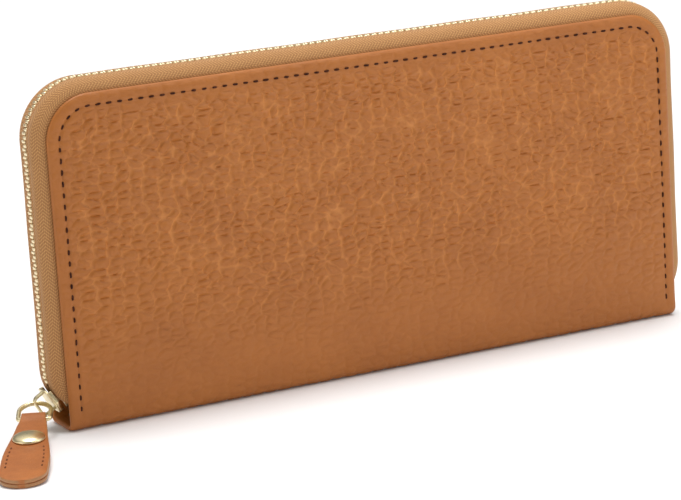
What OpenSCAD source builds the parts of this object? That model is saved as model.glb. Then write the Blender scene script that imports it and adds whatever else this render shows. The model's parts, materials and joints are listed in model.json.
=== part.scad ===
// Long zip-around wallet standing on its spine.
// X runs along the wallet, Y from the front cover to the back cover, Z up.
// The origin is the middle of the flat underside of the spine.

/* [Wallet] */
// Length of the covers along the spine
wallet_length = 189; // [180:1:200]
// Height of the covers above the floor
wallet_height = 89; // [86:1:96]
// Distance between the outer faces of the covers at their edges
edge_thickness = 15; // [15:0.5:18]
// How far the padded covers stand out at half height
cover_crown = 2.2; // [1.5:0.1:3]
// Radius of the two upper corners of a cover
corner_radius = 12.5; // [10:0.5:15]
// Radius under the ends and along the edges of the spine
spine_radius = 3; // [2:0.25:3.5]
// Height of the lines that the covers turn on
fold_height = 4; // [4:0.25:5]

/* [Leather and lining] */
// Thickness of the outer leather
leather = 1.2; // [1:0.05:1.4]
// Thickness of the lining
lining = 0.5; // [0.4:0.05:0.6]
// Thickness of one card pocket layer
pocket_layer = 0.36; // [0.3:0.01:0.38]
// Length of one stitch
stitch_length = 1.8; // [1.5:0.1:2.2]
// Distance from one stitch to the next
stitch_pitch = 3; // [2.6:0.1:3.4]
// Distance of the stitch line from the cover's edge
stitch_inset = 3.3; // [3:0.1:4]

/* [Main zip] */
// How far the middle of the closed zip stands out from the covers' edges
zip_rise = 3.2; // [2.8:0.1:3.6]
// Distance between neighbouring teeth of one row
tooth_pitch = 2.1; // [2:0.05:2.4]
// Radius of the inward curve at both ends of the zip
end_curve = 14; // [13:0.5:16]
// Turn of the zip inside that curve, where the slider rests
end_turn = 30; // [24:1:32]

/* [Puller] */
// Direction in which the puller lies, from straight ahead of the front cover
puller_heading = 26; // [22:1:27]
// Slope of the ring below the horizontal
ring_slope = 15; // [13:0.5:16]
// Slope of the leather tongue below the horizontal
tongue_slope = 5.25; // [5.2:0.05:5.35]
// Length of the tongue from the ring's bar to its tip
tongue_length = 44; // [41:0.5:44]
// Width of the tongue near its tip
tongue_width = 12; // [10:0.5:13]

/* [Inside] */
// Half of the coin pocket's thickness
coin_half = 1.75; // [1.7:0.05:1.8]
// Height of the coin pocket's walls above the floor
coin_height = 72; // [68:1:72]
// Distance between neighbouring teeth of one row of the coin pocket's zip
coin_pitch = 1.8; // [1.7:0.05:2]
// Number of card slots above one another
slot_rows = 4; // [3:1:4]
// Height from one card slot's mouth to the next
slot_step = 12; // [10:0.5:12]

/* [Hidden] */

$fn = 48;
gap = 0.1;
half_l = wallet_length / 2;
half_t = edge_thickness / 2;
tan_leather = "peru";
brass = "darkkhaki";
tape_brown = "tan";
lining_brown = "burlywood";
thread_brown = "saddlebrown";

// Cover: the crowned faces are parts of long cylinders along X
cover_low = fold_height + gap;
crown_span = (wallet_height - fold_height) / 2;
crown_radius = (crown_span * crown_span + cover_crown * cover_crown) / (2 * cover_crown);
crown_mid = fold_height + crown_span;
crown_axis = -half_t - cover_crown + crown_radius;
crown_fn = 720;
lining_out = half_t - leather - 1.05;
lining_in = lining_out - lining;
lining_inset = 0.6;
padding_inset = 5;
padding_low = cover_low + 9;

// Zip: u is measured outwards from the cover's edge, y across the zip
tape_out = lining_out + 0.7;
tape_in = lining_out + 0.2;
tape_depth = 4;
tooth_length = 0.9;
tooth_back = 1.25;
tooth_tip = 0.5;
tooth_low = zip_rise - 0.8;
tooth_high = zip_rise + 0.8;
teeth_start = 4.6;
side_low = wallet_height - corner_radius - 60.5;
end_angle = 45;
trim_angle = end_turn - 17.5;
trim_y = 4.2;
side_run = wallet_height - corner_radius - side_low;
top_run = wallet_length - 2 * corner_radius;
end_run = end_curve * end_turn * PI / 180;
bend_run = (corner_radius + zip_rise) * PI / 2;
zip_run = 2 * (end_run + side_run + bend_run) + top_run;
zip_side = half_l + zip_rise;

// Slider: n points away from the wallet, t down along the zip, at the zip's end curve
slider_x = -zip_side + end_curve * (1 - cos(end_turn));
slider_z = side_low - end_curve * sin(end_turn);
slider_half_length = 3.6;
slider_half_width = 3.9;
slider_narrow = 3.1;
wing_in = 1.35;
wing_out = 1.95;
flange = 0.7;
slot_half = 0.5;
bail_hole = 3;
bail_strip = 0.7;
bail_half_width = 0.6;
bail_leg = 0.8;
bail_half_length = 3.2;

// Ring: a D of round wire, its round side behind the bail's strip
wire = 0.6;
ring_r = 4.2;
ring_shift = -2.2;
ring_arc_q = sqrt(ring_r * ring_r - ring_shift * ring_shift);
ring_bar_q = ring_arc_q + 4.2;
tunnel_n = wing_out + bail_hole / 2;
tunnel = [slider_x - cos(end_turn) * tunnel_n, 0, slider_z - sin(end_turn) * tunnel_n];
across = [cos(puller_heading), -sin(puller_heading), 0];
ahead = [
    -sin(puller_heading) * cos(ring_slope),
    -cos(puller_heading) * cos(ring_slope),
    -sin(ring_slope)
];
bar = tunnel + ring_shift * across + ring_bar_q * ahead;
loop_bore = 0.8;
loop_out = 1.9;
loop_half_width = 3.4;
tongue_half = 1.15;
rivet_q = 16.5;
rivet_r = 4.2;
rivet_dome = 1.6;

// Inside
card_out = lining_in - 0.05;
card_base = 0.4;
card_half_length = half_l - 5.5;
card_low = 8;
card_high = 74;
slot_low = 10;
slot_first = 36;
gusset_length = 23;
gusset_low = 8;
gusset_high = 68;
gusset_in = coin_half + 0.15;
gusset_out = gusset_in + 0.65;
coin_wall = 0.6;
coin_half_length = card_half_length - 2.5;
coin_low = leather + 0.98 + lining;
coin_zip_z = 78.1;
coin_tape = 0.4;
coin_tape_out = coin_half + 0.55;
coin_tape_wide = 4.3;
coin_teeth_half = coin_half_length - 11;
coin_slider_x = coin_half_length - 6.5;
coin_slider_half = 3.4;
coin_wing_half = 2.7;

// A slab between two depths, cut to an outline drawn in X and Z
module slab(y_front, y_back) {
    translate([0, y_back, 0]) rotate([90, 0, 0]) linear_extrude(y_back - y_front) children();
}

// A bar along X between two ends, with a section drawn in Y and Z
module bar_x(x_from, x_to) {
    translate([x_from, 0, 0]) rotate([90, 0, 90]) linear_extrude(x_to - x_from) children();
}

// Everything of the back cover is the front cover's mirror image
module back() { mirror([0, 1, 0]) children(); }

module rect(x1, z1, x2, z2) { translate([x1, z1]) square([x2 - x1, z2 - z1]); }

// Outline of a cover, smaller by an inset all round
module cover_outline(inset = 0, low = cover_low) {
    r = corner_radius - inset;
    x = half_l - inset;
    z = wallet_height - inset;
    rect(-x + r, low, x - r, z);
    rect(-x, low, x, z - r);
    for (side = [-1, 1]) translate([side * (x - r), z - r]) circle(r);
}

module crown_cylinder(shrink) {
    translate([-half_l - 1, crown_axis, crown_mid]) rotate([0, 90, 0])
        cylinder(r = crown_radius - shrink, h = wallet_length + 2, $fn = crown_fn);
}

// ---- Covers ----

module cover_leather() {
    color(tan_leather) difference() {
        intersection() {
            slab(-half_t - cover_crown - 1, 0) cover_outline();
            crown_cylinder(0);
        }
        crown_cylinder(leather);
        slab(-lining_out, 1) cover_outline(-1, 0);
    }
}

module cover_padding() {
    color("dimgray") intersection() {
        slab(-half_t - cover_crown, -lining_out - 0.02)
            cover_outline(padding_inset, padding_low);
        crown_cylinder(leather + 0.05);
    }
}

// The lining is cut away where the tape curves in towards the zip's ends
module cover_lining() {
    color(lining_brown) difference() {
        slab(-lining_out, -lining_in) cover_outline(lining_inset);
        for (side = [0, 1]) mirror([side, 0, 0]) end_sweep(-1, end_angle + 5)
            translate([0, -lining_out - gap]) square([6, lining + 2 * gap]);
    }
}

// Stitches stand a little above the leather along the cover's edge
module cover_stitching() {
    y = -half_t - 0.02;
    x = half_l - stitch_inset;
    z = wallet_height - stitch_inset;
    r = corner_radius - stitch_inset;
    side_count = floor((z - r - fold_height - 4) / stitch_pitch);
    top_count = floor(2 * (x - r) / stitch_pitch);
    bend_count = round(r * PI / 2 / stitch_pitch);
    color(thread_brown) {
        for (side = [-1, 1], i = [0 : side_count - 1]) {
            low = z - r - (i + 0.5) * stitch_pitch;
            translate([side * x, y - crown_at(low), low]) stitch(90);
        }
        for (i = [0 : top_count - 1])
            translate([(i - (top_count - 1) / 2) * stitch_pitch, y - crown_at(z), z]) stitch(0);
        for (side = [-1, 1], i = [0 : bend_count - 1]) {
            a = 90 * (i + 0.5) / bend_count;
            up = z - r + r * sin(a);
            translate([side * (x - r + r * cos(a)), y - crown_at(up), up]) stitch(side * (a - 90));
        }
    }
}

// How far the leather stands out at a height
function crown_at(z) =
    sqrt(crown_radius * crown_radius - (z - crown_mid) * (z - crown_mid)) - crown_radius + cover_crown;

module stitch(turn) {
    rotate([0, -turn, 0]) translate([-stitch_length / 2, -0.5, -0.3])
        cube([stitch_length, 0.45, 0.6]);
}

// ---- Main zip ----

// Sweeps a section, drawn as outward offset and depth, around one end curve
module end_sweep(from_angle, to_angle) {
    translate([-zip_side + end_curve, 0, side_low]) rotate([90, 0, 0])
        rotate([0, 0, 180 + from_angle]) rotate_extrude(angle = to_angle - from_angle)
            mirror([0, 1]) translate([end_curve - zip_rise, 0]) children();
}

// Sweeps the same section up one side, around a corner and along half of the top
module half_sweep() {
    translate([0, 0, side_low]) linear_extrude(side_run)
        translate([-half_l, 0]) mirror([1, 0]) children();
    mirror([1, 0, 0]) translate([half_l - corner_radius, 0, wallet_height - corner_radius])
        rotate([90, 0, 0]) rotate_extrude(angle = 90)
            mirror([0, 1]) translate([corner_radius, 0]) children();
    bar_x(-half_l + corner_radius, 0)
        translate([0, wallet_height]) rotate(90) mirror([0, 1]) children();
}

module tape_section() {
    polygon([
        [-tape_depth, -tape_in], [-tape_depth, -tape_out], [0.5, -tape_out],
        [zip_rise + 0.25, -2.1], [zip_rise + 0.25, -1.3],
        [zip_rise - 0.25, -1.3], [zip_rise - 0.25, -1.95], [0.25, -tape_in]
    ]);
}

// Near its ends the tape is cut back to leave room for the slider
module zip_tape() {
    color(tape_brown) for (side = [0, 1]) mirror([side, 0, 0]) difference() {
        union() {
            half_sweep() tape_section();
            end_sweep(0, end_angle) tape_section();
        }
        end_sweep(trim_angle, end_angle + 5)
            translate([-tape_depth - 1, -trim_y]) square([tape_depth + 6, trim_y + 1]);
    }
}

// Place and turn of the zip at a distance from the slider's resting place
function zip_place(s) =
    s < end_run ? let (a = end_turn - s / end_curve * 180 / PI)
        [-zip_side + end_curve * (1 - cos(a)), side_low - end_curve * sin(a), 90 + a] :
    s < end_run + side_run ? [-zip_side, side_low + s - end_run, 90] :
    s < end_run + side_run + bend_run ?
        let (a = (s - end_run - side_run) / (corner_radius + zip_rise) * 180 / PI)
        [-half_l + corner_radius - (corner_radius + zip_rise) * cos(a),
            wallet_height - corner_radius + (corner_radius + zip_rise) * sin(a), 90 - a] :
    [-half_l + corner_radius + s - end_run - side_run - bend_run, wallet_height + zip_rise, 0];

function mirrored_place(s) = let (p = zip_place(zip_run - s)) [-p[0], p[1], -p[2]];

module on_zip(s) {
    p = s < zip_run / 2 ? zip_place(s) : mirrored_place(s);
    translate([p[0], 0, p[1]]) rotate([0, -p[2], 0]) children();
}

module tooth() {
    translate([-tooth_length / 2, -tooth_back, tooth_low - zip_rise])
        cube([tooth_length, tooth_back + tooth_tip, tooth_high - tooth_low]);
}

module zip_teeth(shift) {
    count = floor((zip_run - 2 * teeth_start) / tooth_pitch);
    color(brass) for (i = [0 : count - 1]) on_zip(teeth_start + (i + shift) * tooth_pitch) tooth();
}

// One stop crimped on the tape at the far end of the zip
module zip_stops() {
    color(brass) on_zip(zip_run - 1.6)
        translate([-1.2, -tooth_back, -0.9]) cube([2.4, 1.2, 1.8]);
}

// ---- Slider ----

module at_slider() { translate([slider_x, 0, slider_z]) rotate([0, -end_turn, 0]) children(); }

module slider_core_pin() {
    color(brass) translate([slider_x, 0, slider_z]) rotate([90, 0, 0])
        cylinder(r = 0.8, h = 2.4, center = true);
}

module wing_outline() {
    polygon([
        [-slider_half_width, -slider_half_length], [slider_half_width, -slider_half_length],
        [slider_half_width, -0.4], [slider_narrow, slider_half_length],
        [-slider_narrow, slider_half_length], [-slider_half_width, -0.4]
    ]);
}

// A wing is a plate with a flange along each side, and the tape runs in the slot between flanges
module wing() {
    rotate([90, 0, -90]) {
        translate([0, 0, wing_in]) linear_extrude(wing_out - wing_in) wing_outline();
        translate([0, 0, slot_half]) linear_extrude(wing_in - slot_half + 0.01) difference() {
            wing_outline();
            square([2 * (slider_narrow - flange), 3 * slider_half_length], center = true);
        }
    }
}

module slider_outer_wing() { color(brass) at_slider() wing(); }

module slider_inner_wing() { color(brass) at_slider() mirror([1, 0, 0]) wing(); }

module slider_bail() {
    high = wing_out + bail_hole + bail_strip;
    color(brass) at_slider() rotate([90, 0, 0]) linear_extrude(2 * bail_half_width, center = true)
        difference() {
            polygon([
                [-wing_out, -bail_half_length], [-high + 0.8, -bail_half_length],
                [-high, -bail_half_length + 0.8], [-high, bail_half_length - 0.8],
                [-high + 0.8, bail_half_length], [-wing_out, bail_half_length]
            ]);
            translate([-high + bail_strip, -bail_half_length + bail_leg])
                square([bail_hole + 1, 2 * (bail_half_length - bail_leg)]);
        }
}

// ---- Puller ----

// Local frame: x across the ring, y along the puller, z up from its plane
module lay(origin, slope) {
    translate(origin) rotate([0, 0, -puller_heading]) rotate([slope, 0, 0])
        mirror([0, 1, 0]) children();
}

module rod_y(y_from, y_to, r) {
    translate([0, y_to, 0]) rotate([90, 0, 0]) cylinder(r = r, h = y_to - y_from);
}

module puller_ring() {
    color(brass) lay(tunnel, ring_slope) translate([ring_shift, 0, 0]) {
        translate([0, ring_arc_q, 0]) rotate([0, 0, 180]) rotate_extrude(angle = 180)
            translate([ring_r, 0]) circle(wire);
        for (side = [-1, 1]) translate([side * ring_r, 0, 0]) {
            rod_y(ring_arc_q, ring_bar_q, wire);
            translate([0, ring_bar_q, 0]) sphere(wire);
        }
        translate([0, ring_bar_q, 0]) rotate([0, 90, 0])
            cylinder(r = wire, h = 2 * ring_r, center = true);
    }
}

module tongue_outline() {
    end_q = tongue_length - tongue_width / 2;
    polygon([
        [-loop_half_width, 0], [loop_half_width, 0], [loop_half_width + 0.4, 9],
        [tongue_width / 2, end_q], [-tongue_width / 2, end_q], [-loop_half_width - 0.4, 9]
    ]);
    translate([0, end_q]) circle(tongue_width / 2);
}

module puller_leather() {
    color(tan_leather) lay(bar, tongue_slope) difference() {
        union() {
            rotate([0, 90, 0]) cylinder(r = loop_out, h = 2 * loop_half_width, center = true);
            rotate([90, 0, 90]) linear_extrude(2 * loop_half_width, center = true) polygon([
                [0, -loop_out], [8, -tongue_half], [8, tongue_half], [0, loop_out]
            ]);
            translate([0, 0, -tongue_half]) linear_extrude(2 * tongue_half) difference() {
                tongue_outline();
                translate([-20, -1]) square([40, 2.6]);
            }
        }
        rotate([0, 90, 0]) cylinder(r = loop_bore, h = 20, center = true);
        translate([0, rivet_q, -5]) cylinder(r = 1.25, h = 10);
    }
}

// Two short rows of stitches along the sides of the tongue
module puller_stitching() {
    first = 22.2;
    count = 6;
    pitch = 2.5;
    color(thread_brown) lay(bar, tongue_slope) for (side = [-1, 1], i = [0 : count - 1]) {
        q = first + i * pitch;
        half = loop_half_width + 0.4 + (q - 9) * (tongue_width / 2 - loop_half_width - 0.4) / 28 - 1.7;
        translate([side * half - 0.25, q - 0.8, tongue_half + 0.02]) cube([0.5, 1.6, 0.3]);
    }
}

module rivet_cap() {
    dome_r = (rivet_r * rivet_r + rivet_dome * rivet_dome) / (2 * rivet_dome);
    color(brass) lay(bar, tongue_slope) translate([0, rivet_q, tongue_half + 0.03])
        intersection() {
            translate([0, 0, rivet_dome - dome_r]) sphere(dome_r, $fn = 160);
            cylinder(r = rivet_r, h = 5);
        }
}

module rivet_post() {
    color(brass) lay(bar, tongue_slope) translate([0, rivet_q, 0]) {
        translate([0, 0, -tongue_half - 0.6]) cylinder(r = 1.15, h = 2 * tongue_half + 0.6);
        translate([0, 0, -tongue_half - 0.63]) cylinder(r = 3, h = 0.6);
    }
}

// ---- Spine ----

module spine_section(inset, low) {
    r = spine_radius - inset;
    y = half_t - inset;
    intersection() {
        union() {
            rect(-y, low + r, y, fold_height + 1);
            rect(-y + r, low, y - r, fold_height + 1);
            for (side = [-1, 1]) translate([side * (y - r), low + r]) circle(r);
        }
        rect(-half_t, 0, half_t, fold_height + inset);
    }
}

module spine_outline() {
    r = spine_radius;
    rect(-half_l, r, half_l, fold_height);
    rect(-half_l + r, 0, half_l - r, fold_height);
    for (side = [-1, 1]) translate([side * (half_l - r), r]) circle(r);
}

module spine_leather() {
    color(tan_leather) intersection() {
        bar_x(-half_l, half_l) difference() {
            spine_section(0, 0);
            spine_section(leather, leather);
        }
        slab(-half_t - 1, half_t + 1) spine_outline();
    }
}

module spine_board() {
    color("gray") translate([-half_l + 4, -half_t + 3.2, leather + 0.02])
        cube([wallet_length - 8, 2 * half_t - 6.4, 0.9]);
}

module spine_lining() {
    color(lining_brown) translate([-half_l + 3, -half_t + 2.4, leather + 0.95])
        cube([wallet_length - 6, 2 * half_t - 4.8, lining]);
}

// A row of stitches down the middle of the spine's lining, beside the coin pocket's foot
module spine_stitching() {
    count = floor((wallet_length - 30) / stitch_pitch);
    color(thread_brown) for (side = [-1, 1], i = [0 : count - 1])
        translate([(i - (count - 1) / 2) * stitch_pitch - 0.9, side * 3.2 - 0.25, leather + 0.97 + lining])
            cube([stitch_length, 0.5, 0.3]);
}

// ---- Inside ----

module coin_wall_front() {
    color(lining_brown) slab(-coin_half, -coin_half + coin_wall)
        rect(-coin_half_length, coin_low, coin_half_length, coin_height);
}

module coin_tape() {
    color(tape_brown) bar_x(-coin_half_length + 2, coin_half_length - 2) polygon([
        [-coin_half - 0.03, coin_height - 3], [-coin_tape_out, coin_height - 3],
        [-coin_tape_out, card_high + 0.1], [-coin_tape_wide, coin_zip_z - coin_tape / 2],
        [-coin_tape_wide, coin_zip_z + coin_tape / 2], [-1.2, coin_zip_z + coin_tape / 2],
        [-1.2, coin_zip_z - coin_tape / 2], [-coin_tape_wide + 0.55, coin_zip_z - coin_tape / 2],
        [-coin_half - 0.03, card_high + 0.1]
    ]);
}

module coin_teeth(shift) {
    count = floor(2 * coin_teeth_half / coin_pitch);
    color(brass) for (i = [0 : count - 1])
        translate([-coin_teeth_half + (i + shift) * coin_pitch, -1.15, coin_zip_z - 0.8])
            cube([0.74, 1.55, 1.6]);
}

module coin_zip_stops() {
    color(brass) {
        translate([-coin_teeth_half - 2.6, -1.15, coin_zip_z - 0.8]) cube([2, 2.3, 1.6]);
        for (side = [-1, 1])
            translate([coin_half_length - 2.7, side * 0.75 - 0.4, coin_zip_z - 0.8])
                cube([0.7, 0.8, 1.6]);
    }
}

module coin_slider_body() {
    color(brass) translate([coin_slider_x, 0, coin_zip_z]) {
        for (up = [0, 1]) mirror([0, 0, up]) {
            translate([0, 0, 1.4])
                cube([2 * coin_slider_half, 2 * coin_wing_half, 0.6], center = true);
            for (side = [-1, 1]) translate([0, side * (coin_wing_half - 0.3), 0.78])
                cube([2 * coin_slider_half, 0.6, 0.76], center = true);
        }
        translate([coin_slider_half - 1.2, 0, 0]) cylinder(r = 0.7, h = 2.4, center = true);
    }
}

module coin_slider_bail() {
    color(brass) translate([coin_slider_x, 0, coin_zip_z + 1.7]) rotate([90, 0, 0])
        linear_extrude(1.2, center = true) difference() {
            translate([-2.6, 0]) square([5.2, 2.2]);
            translate([-1.9, -1]) square([3.8, 2.5]);
        }
}

// The tab hangs on the bail by a bar across its end, and lies along the zip
module coin_pull_tab() {
    color(brass) translate([coin_slider_x - 1, 0, coin_zip_z + 2.4]) difference() {
        union() {
            translate([-15, -2, -0.4]) cube([13, 4, 0.8]);
            translate([-2.2, -1.8, -0.4]) cube([2.6, 0.8, 0.8]);
            translate([-2.2, 1, -0.4]) cube([2.6, 0.8, 0.8]);
            rotate([90, 0, 0]) cylinder(r = 0.4, h = 3.6, center = true);
        }
        translate([-12.8, 0, -2]) cylinder(r = 1, h = 4);
    }
}

module gusset() {
    color(tan_leather) slab(-gusset_out, -gusset_in)
        rect(-coin_half_length, gusset_low, -coin_half_length + gusset_length, gusset_high);
}

module card_panel() {
    color(lining_brown) slab(-card_out, -card_out + card_base)
        rect(-card_half_length, card_low, card_half_length, card_high);
}

// Each slot's front stands a layer nearer to the middle and a step lower than the one behind it
module card_slots() {
    color(tan_leather) for (i = [0 : slot_rows - 1]) {
        y = -card_out + card_base + 0.03 + i * (pocket_layer + 0.03);
        slab(y, y + pocket_layer)
            rect(-card_half_length + 0.3, slot_low, -0.3, slot_first + (slot_rows - 1 - i) * slot_step);
    }
}

module right() { mirror([1, 0, 0]) children(); }

spine_leather();
spine_board();
spine_lining();
spine_stitching();
coin_wall_front();  // coin_pocket_front
back() coin_wall_front();  // coin_pocket_back
coin_tape();  // coin_zip_tape_front
back() coin_tape();  // coin_zip_tape_back
coin_teeth(0);  // coin_zip_teeth_front
back() coin_teeth(0.5);  // coin_zip_teeth_back
coin_zip_stops();
coin_slider_body();
coin_slider_bail();
coin_pull_tab();
gusset();  // gusset_front_left
right() gusset();  // gusset_front_right
back() gusset();  // gusset_back_left
back() right() gusset();  // gusset_back_right
cover_leather();  // front_leather
cover_padding();  // front_padding
cover_lining();  // front_lining
cover_stitching();  // front_stitching
zip_tape();  // front_zip_tape
zip_teeth(0);  // front_zip_teeth
zip_stops();  // front_zip_stops
card_panel();  // front_card_panel
card_slots();  // front_card_slots_left
right() card_slots();  // front_card_slots_right
back() cover_leather();  // back_leather
back() cover_padding();  // back_padding
back() cover_lining();  // back_lining
back() cover_stitching();  // back_stitching
back() zip_tape();  // back_zip_tape
back() zip_teeth(0.5);  // back_zip_teeth
back() zip_stops();  // back_zip_stops
back() card_panel();  // back_card_panel
back() card_slots();  // back_card_slots_left
back() right() card_slots();  // back_card_slots_right
slider_core_pin();
slider_outer_wing();
slider_inner_wing();
slider_bail();
puller_ring();
puller_leather();
puller_stitching();
rivet_cap();
rivet_post();
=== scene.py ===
import json
import math

import bmesh
import bpy
import numpy as np
from mathutils import Matrix, Vector


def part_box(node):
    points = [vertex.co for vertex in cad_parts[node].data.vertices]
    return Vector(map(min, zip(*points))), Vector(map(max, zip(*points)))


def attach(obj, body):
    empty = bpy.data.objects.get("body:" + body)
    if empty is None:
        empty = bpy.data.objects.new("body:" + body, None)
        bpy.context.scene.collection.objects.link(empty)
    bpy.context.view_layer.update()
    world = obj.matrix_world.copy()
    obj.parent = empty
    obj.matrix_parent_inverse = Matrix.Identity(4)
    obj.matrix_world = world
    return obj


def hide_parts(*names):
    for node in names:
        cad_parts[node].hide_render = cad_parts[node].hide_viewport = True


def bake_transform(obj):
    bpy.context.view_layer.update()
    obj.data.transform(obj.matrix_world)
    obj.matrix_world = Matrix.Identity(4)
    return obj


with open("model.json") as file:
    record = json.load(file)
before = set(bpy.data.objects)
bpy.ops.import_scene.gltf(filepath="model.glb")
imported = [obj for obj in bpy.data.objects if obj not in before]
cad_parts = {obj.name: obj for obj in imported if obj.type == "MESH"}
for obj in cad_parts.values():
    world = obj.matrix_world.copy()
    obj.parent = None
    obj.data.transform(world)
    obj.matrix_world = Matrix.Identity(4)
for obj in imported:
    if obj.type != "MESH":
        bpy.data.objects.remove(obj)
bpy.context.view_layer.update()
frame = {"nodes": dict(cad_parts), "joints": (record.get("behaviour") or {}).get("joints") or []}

MM = 0.001


def node_box(node):
    """Lowest and highest corner of a CAD node, in mm."""
    low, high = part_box(node)
    return np.array(low) / MM, np.array(high) / MM


def joint_place(name):
    joint = next(j for j in frame["joints"] if j["name"] == name)
    return np.array(joint["pos_m"]) / MM


def smoothstep(low, high, x):
    t = np.clip((np.asarray(x, float) - low) / (high - low), 0, 1)
    return t * t * (3 - 2 * t)


def unit(vectors):
    """Rows made one unit long."""
    return vectors / np.linalg.norm(vectors, axis=1)[:, None]


def link(obj):
    bpy.context.scene.collection.objects.link(obj)
    return obj


# ---- Layout, in mm, from the CAD frame ----

COVER_LOW, COVER_HIGH = node_box("front_leather")
HALF = COVER_HIGH[0]
TOP = COVER_HIGH[2]
FOLD_Z = 4.0
FACE_Y = node_box("spine_leather")[1][1]
CROWN = -COVER_LOW[1] - FACE_Y
MID_Z = (FOLD_Z + TOP) / 2
CORNER = 12.5
SPINE_R = 3.0
LEATHER = 1.2
LINING_Y = -node_box("front_lining")[0][1]
LINING_IN = -node_box("front_lining")[1][1]
ZIP_RISE = node_box("front_zip_teeth")[1][2] - 0.8 - TOP
ZIP_SIDE = HALF + ZIP_RISE
END_CURVE = 14.0
END_TURN = math.radians(30)
SLIDER = joint_place("slider_turn")
SIDE_LOW = SLIDER[2] + END_CURVE * math.sin(END_TURN)
TUNNEL = joint_place("ring_swing")
BAR = joint_place("puller_swing")
HEADING = math.radians(26)
RING_SLOPE = math.radians(15)
TONGUE_SLOPE = math.radians(5.25)
STITCH_INSET = 3.3
STITCH_PITCH = 3.0
TOOTH_PITCH = 2.1
FACE_S = FACE_Y - SPINE_R + SPINE_R * math.pi / 2
TOP_S = FACE_S + TOP - SPINE_R


PEBBLE = (4.0, 2.15)
SMALL_PEBBLE = (2.2, 1.5)

# ---- Noise, worked out from seeded tables so that every run is the same ----

TABLE = 64
table_rng = np.random.default_rng(20)
JITTER = table_rng.random((TABLE, TABLE, 2))
LATTICE = table_rng.random((TABLE, TABLE))


def value_noise(x, y):
    """Smooth noise from 0 to 1, with features one unit across."""
    i, j = np.floor(x).astype(int), np.floor(y).astype(int)
    fx, fy = x - i, y - j
    fx, fy = fx * fx * (3 - 2 * fx), fy * fy * (3 - 2 * fy)
    a, b = LATTICE[i % TABLE, j % TABLE], LATTICE[(i + 1) % TABLE, j % TABLE]
    c, d = LATTICE[i % TABLE, (j + 1) % TABLE], LATTICE[(i + 1) % TABLE, (j + 1) % TABLE]
    return (a * (1 - fx) + b * fx) * (1 - fy) + (c * (1 - fx) + d * fx) * fy


def cells(x, y):
    """Distance to the nearest border between jittered cells one unit across, and a value for each cell."""
    i, j = np.floor(x).astype(int), np.floor(y).astype(int)
    first = np.full(x.shape, 9.0)
    second = np.full(x.shape, 9.0)
    owner = np.zeros(x.shape)
    for di in (-1, 0, 1):
        for dj in (-1, 0, 1):
            p = JITTER[(i + di) % TABLE, (j + dj) % TABLE]
            d = np.hypot(i + di + 0.12 + 0.76 * p[..., 0] - x, j + dj + 0.12 + 0.76 * p[..., 1] - y)
            nearer = d < first
            second = np.where(nearer, first, np.minimum(second, d))
            owner = np.where(nearer, p[..., 0], owner)
            first = np.where(nearer, d, first)
    return second - first, owner


def pebble(x, s):
    """Height of the leather's grain, from 0 in a crease to 1 on a pebble."""
    wx = x + 1.6 * value_noise(x / 7 + 7, s / 5) + 0.5 * value_noise(x / 1.9, s / 1.5 + 9)
    ws = s + 1.4 * value_noise(x / 6 + 31, s / 5 + 5) + 0.45 * value_noise(x / 1.9 + 3, s / 1.5)
    large, tone = cells(wx / PEBBLE[0], ws / PEBBLE[1])
    small, _ = cells(wx / SMALL_PEBBLE[0] + 11, ws / SMALL_PEBBLE[1] + 3)
    share = smoothstep(0.45, 0.75, value_noise(x / 6 + 3, s / 5 + 17))
    merge = smoothstep(0.15, 0.5, value_noise(x / 3.5 + 50, s / 2.5 + 8))
    dome = 0.5 * smoothstep(-0.1, 0.36, large) + 0.5 * (1 - (1 - np.clip(large / 1.1, 0, 1)) ** 2.0)
    dome = 1 - (1 - dome * (0.85 + 0.15 * tone)) * (0.72 + 0.28 * merge)
    fine = 1 - (1 - np.clip(small / 0.8, 0, 1)) ** 2.0
    return dome * (1 - 0.3 * share * (1 - fine)) + 0.04 * value_noise(x / 0.8, s / 0.8)


# ---- Meshes ----


def add_object(name, points, faces, material, uv=None, values=None, sharp=40):
    mesh = bpy.data.meshes.new(name)
    mesh.from_pydata((np.asarray(points, float).reshape(-1, 3) * MM).tolist(), [], faces)
    mesh.update()
    mesh.polygons.foreach_set("use_smooth", np.ones(len(mesh.polygons), bool))
    mesh.set_sharp_from_angle(angle=math.radians(sharp))
    if uv is not None:
        layer = mesh.uv_layers.new(name="surface")
        index = np.zeros(len(mesh.loops), np.int32)
        mesh.loops.foreach_get("vertex_index", index)
        flat = np.asarray(uv, float).reshape(-1, 2)[index] * MM
        layer.data.foreach_set("uv", flat.astype(np.float32).ravel())
    for key, value in (values or {}).items():
        attribute = mesh.attributes.new(key, "FLOAT", "POINT")
        attribute.data.foreach_set("value", np.asarray(value, np.float32).ravel())
    mesh.materials.append(material)
    return link(bpy.data.objects.new(name, mesh))


class Parts:
    """Collects several lofts into the points and faces of one mesh."""

    def __init__(self):
        self.points, self.faces, self.uv, self.count = [], [], [], 0

    def add(self, points, faces, uv=None):
        points = np.asarray(points, float).reshape(-1, 3)
        self.faces += [tuple(int(v) + self.count for v in f) for f in faces]
        self.points.append(points)
        self.uv.append(np.zeros((len(points), 2)) if uv is None else np.asarray(uv, float).reshape(-1, 2))
        self.count += len(points)

    def make(self, name, material, sharp=40):
        points, uv = np.concatenate(self.points), np.concatenate(self.uv)
        return add_object(name, points, self.faces, material, uv, sharp=sharp)


def loft_faces(rings, around, closed=False, flip=False):
    """Faces over rings of points, each ring closed; closed joins the last ring to the first."""
    faces = []
    for r in range(rings if closed else rings - 1):
        a, b = r * around, ((r + 1) % rings) * around
        for i in range(around):
            j = (i + 1) % around
            faces.append((a + i, a + j, b + j, b + i))
    if not closed:
        faces.append(tuple(range(around))[::-1])
        faces.append(tuple(range((rings - 1) * around, rings * around)))
    return [f[::-1] for f in faces] if flip else faces


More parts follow.
